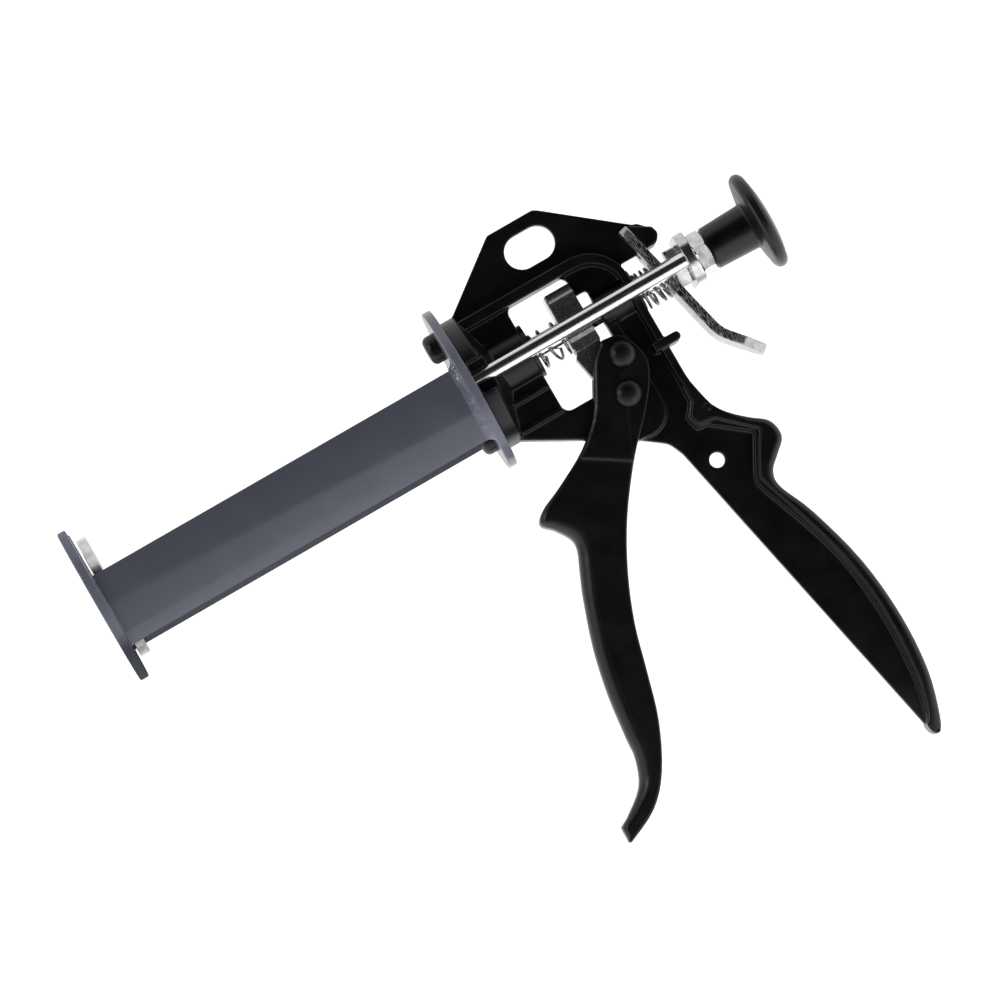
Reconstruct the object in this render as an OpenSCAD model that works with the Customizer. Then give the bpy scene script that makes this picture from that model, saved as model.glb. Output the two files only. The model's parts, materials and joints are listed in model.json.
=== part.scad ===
// Dispensing gun for two-part resin cartridges.
// The origin is where the drive rod's axis crosses the rear cradle plate's front face.
// +X points to the pull knob, +Z points up and the two handles hang down.

/* [Cradle] */
// Length from the rear plate's front face to the front plate's outer face
cradle_length = 177; // [150:1:200]
// Radius of the two round end plates
plate_r = 37; // [36.5:0.5:40]
// Thickness of the end plates
plate_t = 4; // [3:0.5:5]
// Outer radius of the curved side rails
rail_r = 35; // [34:0.5:36]
// Sheet thickness of the side rails
rail_t = 2; // [1.5:0.5:2.5]
// Width of the nozzle notch in the front plate
notch_w = 36.4; // [30:0.2:38]
// How far the cradle's centre lies below the drive rod
cradle_drop = 1; // [0.5:0.5:1.5]

/* [Ram] */
// Radius of the central drive rod
rod_r = 5; // [4.5:0.1:5]
// Radius of the two side rods
side_rod_r = 3.4; // [3:0.1:3.5]
// Distance of each side rod from the drive rod
side_rod_y = 18; // [17.8:0.1:18.5]
// Radius of the piston
piston_r = 27.5; // [26:0.5:28]
// Thickness of the piston
piston_t = 4.4; // [3:0.2:5]

/* [Trigger and handle] */
// Outer width of the trigger across its two cheeks
trigger_w = 21.2; // [20:0.2:22]
// Thickness of each trigger cheek
cheek_t = 4; // [3:0.2:4]
// Width of the handle's rounded rear rim
rim_w = 22; // [18:1:24]
// Thickness of the casting's flat web
web_t = 6; // [5:0.5:7]
// Radius of the hole through the handle
handle_hole_r = 3.3; // [3:0.1:4]

/* [Release lever] */
// Width of the release lever
lever_w = 26; // [24:1:28]
// Thickness of the release lever
lever_t = 4; // [3:0.5:4]
// Lean of the lever from a right angle to the rod
lever_lean = 13.5; // [12:0.5:14]

/* [Knob] */
// Radius of the knob's disc
knob_r = 21.8; // [18:0.2:24]
// Radius of the knob's stem
knob_stem_r = 9.6; // [9:0.1:10]

/* [Hidden] */
$fn = 64;

casting_black = [0.07, 0.07, 0.075];
paint_grey = [0.32, 0.33, 0.37];
zinc = [0.78, 0.78, 0.76];
dark_steel = [0.2, 0.2, 0.2];

through = 120;            // longer than any wall that a hole passes
run_gap = 0.06;           // radial gap of a running fit
front_face_x = -cradle_length + plate_t;
plate_seat_x = plate_t;   // where the casting meets the rear plate

// Casting
flange_r = 29.6;
flange_t = 6.6;
flange_x = plate_seat_x + flange_t;
flare_x = 16.5;
boss_r = 12.5;
boss_end_x = 31.4;        // front edge of the window
rear_boss_r = 8;
rear_boss_x = 64.7;
rear_bush_l = 9;
wall_in_x = 79.2;         // inner face of the rear wall
wall_out_x = 82.6;        // outer face of the rear wall
bush_head = 6;            // how far the front bush starts behind the flange
collar_r = 12;            // collar of the front bush
rear_collar_r = 9.4;
ridge_z = [20.3, 25];     // underside and top of the ridge above the window
ridge_foot = -42;         // where the ridge runs out on the rear wall
rib_w = 17;               // width across the front ribs
rib_t = 1.6;
rib_z = [-16.4, -28];
rod_clear = 0.6;          // gap between the drive rod and plain walls
side_rod_clear = 0.3;
pocket_w = 40;            // pockets beside the side rods
pocket_l = 14;            // how far they reach in front of the plate
pocket_x = plate_seat_x + 0.6;
pocket_y = side_rod_y + 2.6;
pocket_z = [-7, 7.6];
tab_top_z = 50.8;
tab_x = [40.3, 61.9];     // ends of the tab's flat top
lug_z = [12.6, 24.6];
lug_w = 20;
body_w = 12.4;            // thickness of the casting between the trigger's cheeks
core_top = 21;            // height where the thick core meets the ridge
core_x = 69.7;            // rear edge of the thick core
hub_r = 9.5;              // round hub about the trigger's pivot
hub_skirt_r = 11;         // round lower corner of the core
rim_foot_w = 17;          // width of the step at the foot of the handle's rim
tongue_x = [76.7, 87.2];  // lower tongue that stops the release lever
tongue_z = -25.15;
tongue_r = 1.95;
mark_at = [84, -57.6];    // small round moulding mark on the rim
mark_r = 2;
mark_depth = 0.6;
mark_t = 0.8;              // width of the moulding mark's ring
bush_r = 6.5;
hang_slot = [53.3, 37.7]; // centre of the hanging slot
hang_slot_r = 7.4;
hang_slot_half = 3.7;     // half the distance between the slot's end arcs
handle_hole = [76.7, -78.2];

// Trigger
pivot = [58.1, -36];
drive_pin = [64.2, -20.4];
pivot_pin_r = 4;
drive_pin_r = 3.5;
sleeve_r = 4.7;
rivet_head_r = 5.7;
rivet_head_h = 3.2;
rivet_seat = 0.1;         // gap under a rivet's head
cheek_in = trigger_w / 2 - cheek_t;
sleeve_w = 2 * cheek_in - 0.4;
step_depth = 0.6;         // how far the cheeks stand out above the step
front_wall_t = 4.2;       // front wall of the trigger's channel

// Drive dog and springs
dog_x = [48, 59.4];
dog_z = [-10.4, 16.5];
dog_w = 22;
dog_bevel = 3.2;
leg_w = 11.6;
leg_z = -24;
leg_x = 59.2;             // rear face of the leg, which the sleeve pushes on
dog_washer_t = 0.8;
dog_washer_w = 20;
dog_washer_z = [-9, 16];
collar_t = 1.8;
rear_collar_t = 0.8;
spring_drop = 1.6;        // the loose springs hang below the drive rod's axis
spring_gap = 0.05;
spring_sides = 6;
spring_steps = 16;        // wire segments in one turn

// Release lever: centre line in side view, at the drive rod's height
lever_x = 95.8;
lever_top_z = 24.6;
fork_z = 11;              // root of the fork
lever_slot = 1.1;         // half the play of the upright slot about the rod
lever_bend_z = -29;
tail_lean = 41;           // lean of the thumb tail
tail_length = 16.6;
bend_steps = 5;
bend_r = 16;

// Ram
piston_gap = 1.3;
piston_drop = 1.8;        // how far the piston's centre lies below the drive rod
screw_r = 2.5;            // shank of the piston's screw
screw_cap_r = 5;
screw_cap_t = 2;
screw_length = 13;
tenon_r = 2.4;            // turned-down ends of the side rods
tenon_proud = 0.8;
piston_x = front_face_x + piston_gap;
yoke_x = 105.9;
yoke_t = 4.3;
yoke_h = 23;
yoke_w = 48;
yoke_corner = 4;
nut_af = 17;
nut_t = 6;
nut_chamfer = 1;
washer_t = 1.2;
washer_r = 9.8;
knob_x = yoke_x + yoke_t + washer_t + nut_t;
stem_end_x = 137.6;
knob_end_x = 146.8;
knob_rim_x = 141.9;
knob_rim_r = 3;
knob_bore = 14;           // depth of the drive rod in the knob

// Cradle screws
screw_z = [20.8, -22.9];
screw_shank_r = 3;
screw_head_r = 6.3;
screw_head_h = 5.7;
screw_edge_r = 2.8;
screw_socket_r = 2.3;
screw_socket_depth = 3;

// Angles of the rails' upper and lower edges, seen from the cradle's centre
rail_top_angle = 14.9;
rail_bottom_angle = -41.8;
bead_w = 2.4;             // width of the weld beads along the rails
bead_h = 1.6;

// Extrudes a side-view outline (X right, Z up) to a width centred on the axis
module side(width) {
    rotate([90, 0, 0])
        translate([0, 0, -width / 2])
            linear_extrude(width) children();
}

// Round bar along the drive axis
module bar_x(x_from, x_to, r) {
    translate([x_from, 0, 0])
        rotate([0, 90, 0]) cylinder(h = x_to - x_from, r = r);
}

// Round bar across the gun, at a point of the side view
module bar_y(at, r, width) {
    translate([at[0], width / 2, at[1]])
        rotate([90, 0, 0]) cylinder(h = width, r = r);
}

// Turns a profile of (radius, x) points about the drive axis
module turned_x() {
    rotate([0, 90, 0]) rotate_extrude() children();
}

// Rectangle between two corners of the side view
module window(x, z) {
    translate([x[0], z[0]]) square([x[1] - x[0], z[1] - z[0]]);
}

// Point at fraction t on the smooth curve between b and c
function blend(a, b, c, d, t) =
    0.5 * (2 * b + (c - a) * t + (2 * a - 5 * b + 4 * c - d) * t * t
           + (3 * b - a - 3 * c + d) * t * t * t);

// Smooth open curve through a list of points
function curve(p, steps = 4) =
    let (last = len(p) - 1)
    [
        for (i = [0 : last - 1], k = [0 : steps - 1])
            blend(p[max(i - 1, 0)], p[i], p[i + 1], p[min(i + 2, last)], k / steps),
        p[last]
    ];

// Arc of points about a centre
function arc(centre, r, from, to, steps = 6) =
    [for (i = [0 : steps])
        let (a = from + (to - from) * i / steps)
        centre + r * [cos(a), sin(a)]];

// Rear edge of the handle, from its tip up to the rear wall
function handle_rear() = curve([
    [96.4, -216.8], [97, -220.8], [99.7, -222.4], [103.2, -216.8], [108.6, -197.4],
    [110.2, -172.4], [107.6, -144.6], [100.2, -116.8], [93.6, -101], [94.3, -93.8],
    [99.6, -88.6], [104.8, -83], [103.6, -75.2], [97.3, -70], [91.7, -65.1], [87.4, -60],
    [85, -54.4], [82.8, -44]
]);

// Upper edge of the rear rim, from the rear wall down to the handle's tip
function rim_edge() = concat(
    [[79.8, -40], [79.8, -52], [75.8, -57.5], [77, -61.5], [84.2, -62.7]],
    curve([
        [98.5, -75.8], [89.2, -91.7], [89.4, -97], [94.5, -113], [102.2, -140],
        [105.3, -168], [103.8, -197], [99.8, -213], [97, -217]
    ])
);

// Foot of the rear rim on the web, a step further in
function rim_foot() = concat(
    [[wall_in_x, -40], [78.6, -51.5], [74.3, -57], [75.8, -63], [80.4, -63.6]],
    curve([
        [95.8, -75.8], [87.1, -91.7], [86.9, -98.3], [91.5, -111], [100.4, -139],
        [103.6, -170], [102, -198], [98.4, -213], [96.4, -217]
    ])
);

// Front edge of the trigger, from its top down to the tip
function trigger_front() = curve([
    [59.4, -11.3], [52.5, -16.8], [47.8, -24.6], [40.6, -36.6], [29.4, -46.8], [13.7, -55.4],
    [3, -60.3], [-1, -65.2], [3.4, -70.2], [7.8, -79], [3.6, -90.2], [-0.6, -100.2],
    [-7.3, -120], [-11.8, -140], [-14.3, -160], [-15.2, -168.8], [-20, -180], [-30.8, -188.7]
]);

// Rear edge of the trigger, from the tip back to its top
function trigger_rear() = curve([
    [-34.2, -198.2], [-19.4, -191], [-8.6, -179.2], [1, -160], [7, -140], [12.6, -120],
    [20.9, -100], [32.2, -80], [47.3, -60], [60.4, -46.2], [69.6, -34], [72.2, -24.6],
    [67.8, -13.6], [59.4, -11.3]
]);

// Whole outline of the trigger in side view
module trigger_outline() {
    polygon(concat(trigger_front(), [[-34.7, -190.7], [-34.9, -198.2]], trigger_rear()));
}

// Rounds the outer corners of a flat shape
module rounded(r) {
    offset(r = r) offset(delta = -r) children();
}

// Whole outline of the casting in side view
module casting_outline() {
    polygon(concat(
        [[plate_seat_x + 1, 28.5], [plate_seat_x + 1, -30.7], [flange_x, -30.7],
         [31.7, -42.8], [53.3, -55.4]],
        curve([[59.4, -59.9], [62.8, -62.9], [65.6, -69]]),
        handle_rear(),
        [[wall_out_x, -36], [wall_out_x, lug_z[0]], [98.3, lug_z[0]]],
        curve([[100.4, 13.3], [102.2, 16.2], [101.3, 19.6]]),
        [[97, lug_z[1] - 0.5], [95.2, lug_z[1]], [tab_x[1] + 2, tab_top_z - 1.2],
         [tab_x[1], tab_top_z], [tab_x[0], tab_top_z], [tab_x[0] - 1.7, tab_top_z - 1.2],
         [flange_x, 28.5]]
    ));
}

// Opening through the casting, where the drive dog and the drive pin work
module casting_window() {
    rounded(3.8) {
        window([boss_end_x, 59.7], [-30, ridge_z[0]]);
        window([50, 69.9], [-26.5, -14.6]);
    }
    rounded(1.3) window([50, 64.8], [-24, 10.4]);
}

// Ridge that runs over the window and down the rear wall
module ridge_outline() {
    corner = [64, 6.8];
    inner = [for (a = [90 : -10 : 0]) corner + [15.2 * cos(a), 13.5 * sin(a)]];
    outer = [for (a = [0 : 10 : 90]) corner + [18.6 * cos(a), 18.2 * sin(a)]];
    polygon(concat(
        [[plate_seat_x + 1, ridge_z[1]], [plate_seat_x + 1, ridge_z[0]]],
        inner,
        [[wall_in_x, ridge_foot], [wall_out_x, ridge_foot]],
        outer
    ));
}

// Rim down the back of the handle, behind its given inner line
module rim_outline(inner) {
    polygon(concat(inner, handle_rear(), [[wall_out_x, -40]]));
}

// Thicker core of the casting around the trigger's pivot
module core_outline() {
    polygon(concat(
        [[flange_x - 1, -30.5], [31.7, -42.8], [53.3, -55.4]],
        arc([core_x - hub_skirt_r, -45], hub_skirt_r, 250, 360),
        [[core_x, -7], [rear_boss_x, -7], [boss_end_x, core_top], [flange_x - 1, core_top]]
    ));
}

// One stiffening rib between the flange and the window
module front_rib(z, x_from) {
    side(rib_w) window([x_from, boss_end_x], [z - rib_t / 2, z + rib_t / 2]);
}

// Solid parts of the casting, before it is drilled
module casting_solid() {
    difference() {
        union() {
            side(web_t) casting_outline();
            side(body_w) core_outline();
            side(rim_w) ridge_outline();
            side(rim_w) rim_outline(rim_edge());
            side(rim_foot_w) rim_outline(rim_foot());
            bar_y(pivot, hub_r, body_w);
            // lower tongue that stops the release lever
            side(rim_w + 2) {
                window(tongue_x, [tongue_z - tongue_r, tongue_z + tongue_r]);
                translate([tongue_x[1], tongue_z]) circle(r = tongue_r);
            }
            // crossbar that the release lever's fork leans on
            side(lug_w) polygon(concat(
                [[92.6, lug_z[1]], [95.3, lug_z[0]], [98.9, lug_z[0]]],
                curve([[100.4, 13.3], [102.2, 16.2], [101.3, 19.6]])
            ));
        }
        side(through) casting_window();
    }
    translate([0, 0, -cradle_drop]) {
        bar_x(plate_seat_x, flange_x, flange_r);
        turned_x() polygon(concat(
            [[0, flange_x - 1], [27.5, flange_x - 1], [27, flange_x]],
            curve([[25.5, 11.6], [20, 13.2], [15, 14.8], [boss_r, flare_x]]),
            [[0, flare_x]]
        ));
    }
    bar_x(flange_x, boss_end_x, boss_r);
    bar_x(rear_boss_x, wall_in_x + 1, rear_boss_r);
    bar_x(wall_in_x, wall_out_x, 11);
    front_rib(rib_z[0], 13);
    front_rib(rib_z[1], flange_x);
}

module frame_casting() {
    color(casting_black) difference() {
        casting_solid();
        // drive rod and its two bushes
        bar_x(0, through, rod_r + rod_clear);
        bar_x(flange_x + bush_head, boss_end_x + 1, bush_r);
        bar_x(wall_in_x - rear_bush_l, wall_out_x + 1, bush_r);
        for (hand = [-1, 1]) {
            translate([0, hand * side_rod_y, 0])
                bar_x(0, flare_x + 5, side_rod_r + side_rod_clear);
            // pocket in the flange that shows the side rod
            translate([pocket_x, hand > 0 ? pocket_y : -pocket_y - pocket_w, pocket_z[0]])
                cube([pocket_l, pocket_w, pocket_z[1] - pocket_z[0]]);
        }
        // threaded holes for the cradle's screws
        for (z = screw_z) translate([0, 0, z]) bar_x(0, flange_x + 2, screw_shank_r);
        bar_y(pivot, pivot_pin_r + 0.02, through);
        bar_y(handle_hole, handle_hole_r, through);
        hang_opening();
        for (hand = [-1, 1]) translate([0, hand * rim_w / 2, 0]) moulding_mark();
    }
}

// Shallow ring left by moulding, on a side face of the rim
module moulding_mark() {
    difference() {
        bar_y(mark_at, mark_r, 2 * mark_depth);
        bar_y(mark_at, mark_r - mark_t, through);
    }
}

// Slot in the top tab for hanging the gun up
module hang_opening() {
    for (way = [-1, 1])
        bar_y(hang_slot + [way * hang_slot_half, 0], hang_slot_r, through);
    side(through)
        translate(hang_slot) square([2 * hang_slot_half, 2 * hang_slot_r], center = true);
}

module rear_plate() {
    color(paint_grey) difference() {
        translate([0, 0, -cradle_drop]) bar_x(0, plate_t, plate_r);
        bar_x(-1, plate_t + 1, rod_r + rod_clear);
        for (hand = [-1, 1])
            translate([0, hand * side_rod_y, 0])
                bar_x(-1, plate_t + 1, side_rod_r + side_rod_clear);
        for (z = screw_z)
            translate([0, 0, z]) bar_x(-1, plate_t + 1, screw_shank_r);
    }
}

module front_plate() {
    color(paint_grey) translate([0, 0, -cradle_drop]) difference() {
        bar_x(-cradle_length, front_face_x, plate_r);
        bar_x(-cradle_length - 1, front_face_x + 1, notch_w / 2);
        translate([-cradle_length - 1, -notch_w / 2, 0]) cube([plate_t + 2, notch_w, plate_r + 5]);
    }
}

// Curved side rail: hand is -1 on the user's left and 1 on the right
module rail(hand) {
    low = rail_r * sin(rail_bottom_angle);
    high = rail_r * sin(rail_top_angle);
    color(paint_grey) translate([0, 0, -cradle_drop]) difference() {
        bar_x(front_face_x, 0, rail_r);
        bar_x(front_face_x - 1, 1, rail_r - rail_t);
        translate([front_face_x - 1, -50, high]) cube([cradle_length + 2, 100, 50]);
        translate([front_face_x - 1, -50, low - 50]) cube([cradle_length + 2, 100, 50]);
        translate([front_face_x - 1, hand > 0 ? -50 : 0, -50]) cube([cradle_length + 2, 50, 100]);
    }
}

module left_rail() rail(-1);

module right_rail() rail(1);

// Ring of weld bead in the corner between a plate and the rails, cut to the rails' height
module weld_ring(x_from, x_to) {
    difference() {
        turned_x() polygon([
            [rail_r, x_from], [rail_r + bead_h, x_from],
            [rail_r + bead_h / 3, (x_from + x_to) / 2], [rail_r, x_to]
        ]);
        translate([-cradle_length, -50, rail_r * sin(rail_top_angle) - 0.5])
            cube([cradle_length * 2, 100, 50]);
        translate([-cradle_length, -50, rail_r * sin(rail_bottom_angle) + 0.5 - 50])
            cube([cradle_length * 2, 100, 50]);
    }
}

module weld_beads() {
    color(paint_grey) translate([0, 0, -cradle_drop]) {
        weld_ring(0, -bead_w);
        weld_ring(front_face_x, front_face_x + bead_w);
    }
}

module plate_screws() {
    color(casting_black) for (z = screw_z) translate([0, 0, z]) {
        bar_x(0, flange_x + 2, screw_shank_r);
        difference() {
            turned_x() polygon(concat(
                [[0, 0], [screw_head_r, 0]],
                arc([screw_head_r - screw_edge_r, screw_edge_r - screw_head_h], screw_edge_r, 0, -90),
                [[0, -screw_head_h]]
            ));
            bar_x(-screw_head_h - 1, screw_socket_depth - screw_head_h, screw_socket_r, $fn = 6);
        }
    }
}

module front_bush() {
    color(casting_black) difference() {
        union() {
            bar_x(flange_x + bush_head, boss_end_x, bush_r);
            bar_x(boss_end_x, boss_end_x + collar_t, collar_r);
        }
        bar_x(0, through, rod_r + run_gap);
    }
}

module rear_bush() {
    color(casting_black) difference() {
        union() {
            bar_x(wall_in_x - rear_bush_l, wall_out_x, bush_r);
            bar_x(wall_out_x, wall_out_x + rear_collar_t, rear_collar_r);
        }
        bar_x(0, through, rod_r + run_gap);
    }
}

// Domed rivet through both cheeks of the trigger
module rivet(at, shank_r) {
    bar_y(at, shank_r, trigger_w + 4 * rivet_seat);
    for (hand = [-1, 1])
        translate([at[0], hand * (trigger_w / 2 + rivet_seat), at[1]])
            rotate([-90 * hand, 0, 0])
                rotate_extrude() polygon(concat(
                    [[0, 0], [rivet_head_r, 0]],
                    arc([0, 0], 1, 8, 82, 6) * [[rivet_head_r, 0], [0, rivet_head_h]],
                    [[0, rivet_head_h]]
                ));
}

module pivot_rivet() {
    color(casting_black) rivet(pivot, pivot_pin_r);
}

module drive_rivet() {
    color(casting_black) rivet(drive_pin, drive_pin_r);
}

module drive_sleeve() {
    color(dark_steel) difference() {
        bar_y(drive_pin, sleeve_r, sleeve_w);
        bar_y(drive_pin, drive_pin_r, through);
    }
}

// Trigger: two cheeks at the top, a channel open towards the palm below
module trigger() {
    color(casting_black) difference() {
        union() {
            side(trigger_w - 2 * step_depth) trigger_outline();
            // thicker cheeks above the step
            side(trigger_w) intersection() {
                trigger_outline();
                polygon([[24.6, -47.6], [48, -62.6], [90, -40], [60, 0], [20, -30]]);
            }
        }
        // inside of the channel, behind a closed front wall
        side(2 * cheek_in) offset(delta = -front_wall_t)
            polygon(concat(trigger_front(), [[-29, -194], [-20, -240], [150, -240], [150, 30]]));
        // open space between the cheeks
        side(2 * cheek_in)
            polygon([[27.5, -49.4], [48, -62.6], [90, -60], [90, 0], [20, 0], [20, -44.5]]);
        bar_y(pivot, pivot_pin_r + run_gap, through);
        bar_y(drive_pin, drive_pin_r, through);
    }
}

module drive_dog() {
    x = dog_x[0];
    length = dog_x[1] - dog_x[0];
    color(dark_steel) difference() {
        union() {
            rotate([90, 0, 90]) translate([0, 0, x]) linear_extrude(length) polygon([
                [-dog_w / 2, dog_z[0]], [dog_w / 2, dog_z[0]],
                [dog_w / 2, dog_z[1] - dog_bevel], [dog_w / 2 - dog_bevel, dog_z[1]],
                [dog_bevel - dog_w / 2, dog_z[1]], [-dog_w / 2, dog_z[1] - dog_bevel]
            ]);
            side(leg_w) polygon([
                [x, dog_z[0] + 1], [x, dog_z[0] - 0.6], [x - 1.2, dog_z[0] - 2.4],
                [x + 1, leg_z], [leg_x, leg_z], [leg_x, dog_z[0] + 1]
            ]);
        }
        bar_x(0, through, rod_r + run_gap);
    }
}

module dog_washer() {
    color(zinc) difference() {
        translate([dog_x[0] - dog_washer_t, -dog_washer_w / 2, dog_washer_z[0]])
            cube([dog_washer_t, dog_washer_w, dog_washer_z[1] - dog_washer_z[0]]);
        bar_x(0, through, rod_r + rod_clear);
    }
}

// Coil spring about the drive rod; lean tips its far end by that much X for each mm of Z
module coil_spring(x_from, x_to, mean_r, wire_r, turns, lean = 0) {
    rings = round(turns * spring_steps);
    points = [
        for (i = [0 : rings])
            let (
                t = i / rings,
                a = 360 * turns * t,
                // the end turns lie closer together than the middle ones
                rise = t - 0.35 * sin(720 * t) / (2 * PI),
                y = mean_r * cos(a),
                z = mean_r * sin(a),
                x = x_from + wire_r + (x_to - x_from - 2 * wire_r - lean * z) * rise
            )
            for (j = [0 : spring_sides - 1])
                let (b = 360 * j / spring_sides)
                [x + wire_r * sin(b),
                 y + wire_r * cos(b) * cos(a),
                 z + wire_r * cos(b) * sin(a)]
    ];
    faces = concat(
        [[for (j = [0 : spring_sides - 1]) j]],
        [[for (j = [spring_sides - 1 : -1 : 0]) rings * spring_sides + j]],
        [for (i = [0 : rings - 1], j = [0 : spring_sides - 1])
            let (
                a = i * spring_sides + j,
                b = i * spring_sides + (j + 1) % spring_sides
            )
            for (face = [[a, a + spring_sides, b], [b, a + spring_sides, b + spring_sides]]) face]
    );
    polyhedron(points, faces);
}

module front_spring() {
    x_from = boss_end_x + collar_t + spring_gap;
    x_to = dog_x[0] - dog_washer_t - spring_gap;
    color(zinc) translate([0, 0, -spring_drop])
        coil_spring(x_from, x_to, mean_r = 7.5, wire_r = 0.5, turns = 3);
}

module rear_spring() {
    x_from = wall_out_x + rear_collar_t + spring_gap;
    lever_face_x = lever_x - lever_t / 2 / cos(lever_lean) + spring_drop * tan(lever_lean);
    color(zinc) translate([0, 0, -spring_drop])
        coil_spring(x_from, lever_face_x - 0.2, mean_r = 8, wire_r = 0.55, turns = 4.75,
                    lean = tan(lever_lean));
}

// Centre line of the release lever in side view, from its fork to its tail
function lever_line() =
    let (
        top = [lever_x - lever_top_z * tan(lever_lean), lever_top_z],
        bend_from = [lever_x - lever_bend_z * tan(lever_lean), lever_bend_z],
        centre = bend_from + bend_r * [cos(lever_lean), sin(lever_lean)],
        turn = arc(centre, bend_r, 180 + lever_lean, 180 + tail_lean, bend_steps),
        end = turn[bend_steps] + tail_length * [sin(tail_lean), -cos(tail_lean)]
    )
    concat([top], turn, [end]);

// Unit normals of the lever's centre line
function lever_normals() =
    concat(
        [[cos(lever_lean), sin(lever_lean)]],
        [for (i = [0 : bend_steps])
            let (a = lever_lean + (tail_lean - lever_lean) * i / bend_steps) [cos(a), sin(a)]],
        [[cos(tail_lean), sin(tail_lean)]]
    );

module release_lever() {
    line = lever_line();
    normals = lever_normals();
    last = len(line) - 1;
    fork_root = [lever_x - fork_z * tan(lever_lean), fork_z];
    color(zinc) difference() {
        side(lever_w) polygon(concat(
            [for (i = [0 : last]) line[i] + normals[i] * lever_t / 2],
            [for (i = [last : -1 : 0]) line[i] - normals[i] * lever_t / 2]
        ));
        // fork that straddles the casting's web
        side(web_t + 1) translate(fork_root) rotate(lever_lean) window([-10, 10], [0, 20]);
        // upright slot around the drive rod
        for (z = [-lever_slot, lever_slot])
            translate([0, 0, z]) bar_x(wall_out_x, yoke_x, rod_r + rod_clear);
        translate([wall_out_x, -rod_r - rod_clear, -lever_slot])
            cube([yoke_x - wall_out_x, 2 * (rod_r + rod_clear), 2 * lever_slot]);
    }
}

module drive_rod() {
    color(zinc) difference() {
        bar_x(piston_x + piston_t, knob_x + knob_bore, rod_r);
        bar_x(piston_x, piston_x + piston_t + screw_length + 1, screw_r);
    }
}

module side_rods() {
    color(zinc) for (hand = [-1, 1]) translate([0, hand * side_rod_y, 0]) {
        bar_x(piston_x + piston_t, yoke_x, side_rod_r);
        // turned-down ends, riveted over in the piston and the yoke
        bar_x(piston_x, piston_x + piston_t, tenon_r);
        bar_x(yoke_x, yoke_x + yoke_t + tenon_proud, tenon_r);
    }
}

module piston() {
    color(zinc) difference() {
        translate([0, 0, -piston_drop]) bar_x(piston_x, piston_x + piston_t, piston_r);
        bar_x(piston_x - 1, piston_x + piston_t + 1, screw_r);
        bar_x(piston_x - 1, piston_x + screw_cap_t, screw_cap_r);
        for (hand = [-1, 1]) translate([0, hand * side_rod_y, 0])
            bar_x(piston_x - 1, piston_x + piston_t + 1, tenon_r);
    }
}

module piston_screw() {
    color(zinc) difference() {
        union() {
            bar_x(piston_x, piston_x + screw_cap_t, screw_cap_r);
            bar_x(piston_x + screw_cap_t, piston_x + piston_t + screw_length, screw_r);
        }
        bar_x(piston_x - 1, piston_x + 1.2, 2, $fn = 6);
    }
}

// Hexagon nut on the drive rod; turn sets where its corners point
module nut(x_from, turn) {
    difference() {
        intersection() {
            rotate([turn, 0, 0]) bar_x(x_from, x_from + nut_t, nut_af / sqrt(3), $fn = 6);
            turned_x() polygon([
                [0, x_from], [nut_af / 2, x_from],
                [nut_af / 2 + 2 * nut_chamfer, x_from + nut_chamfer],
                [nut_af / 2 + 2 * nut_chamfer, x_from + nut_t - nut_chamfer],
                [nut_af / 2, x_from + nut_t], [0, x_from + nut_t]
            ]);
        }
        bar_x(x_from - 1, x_from + nut_t + 1, rod_r);
    }
}

module front_nut() {
    color(zinc) nut(yoke_x - nut_t, 30);
}

module yoke() {
    color(zinc) difference() {
        rotate([90, 0, 90]) translate([0, 0, yoke_x]) linear_extrude(yoke_t)
            offset(delta = yoke_corner, chamfer = true) offset(delta = -yoke_corner)
                square([yoke_w, yoke_h], center = true);
        bar_x(yoke_x - 1, yoke_x + yoke_t + 1, rod_r);
        for (hand = [-1, 1]) translate([0, hand * side_rod_y, 0])
            bar_x(yoke_x - 1, yoke_x + yoke_t + 1, tenon_r);
    }
}

module yoke_washer() {
    x = yoke_x + yoke_t;
    color(zinc) difference() {
        bar_x(x, x + washer_t, washer_r);
        bar_x(x - 1, x + washer_t + 1, rod_r);
    }
}

module rear_nut() {
    color(zinc) nut(yoke_x + yoke_t + washer_t, 16);
}

module knob() {
    disc_r = knob_r - knob_rim_r;
    color(casting_black) difference() {
        turned_x() polygon(concat(
            [[0, knob_x], [knob_stem_r - 1.2, knob_x], [knob_stem_r - 0.2, knob_x + 1.1],
             [knob_stem_r + 0.5, stem_end_x - 0.8], [knob_stem_r + 1.3, stem_end_x]],
            curve([[14.5, stem_end_x + 0.4], [disc_r, knob_rim_x - knob_rim_r]]),
            arc([disc_r, knob_rim_x], knob_rim_r, -70, 70),
            curve([[disc_r, knob_rim_x + knob_rim_r], [13, knob_end_x - 0.7],
                   [6, knob_end_x - 0.1], [0, knob_end_x]])
        ));
        bar_x(knob_x - 1, knob_x + knob_bore, rod_r);
    }
}

frame_casting();
rear_plate();
front_plate();
left_rail();
right_rail();
weld_beads();
plate_screws();
front_bush();
rear_bush();
pivot_rivet();
trigger();
drive_rivet();
drive_sleeve();
drive_dog();
dog_washer();
front_spring();
release_lever();
rear_spring();
drive_rod();
side_rods();
piston();
piston_screw();
front_nut();
yoke();
yoke_washer();
rear_nut();
knob();
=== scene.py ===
"""Looks of the resin cartridge gun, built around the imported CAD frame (metres)."""

import json
import math

import bpy
import numpy as np
from mathutils import Matrix, Vector


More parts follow.
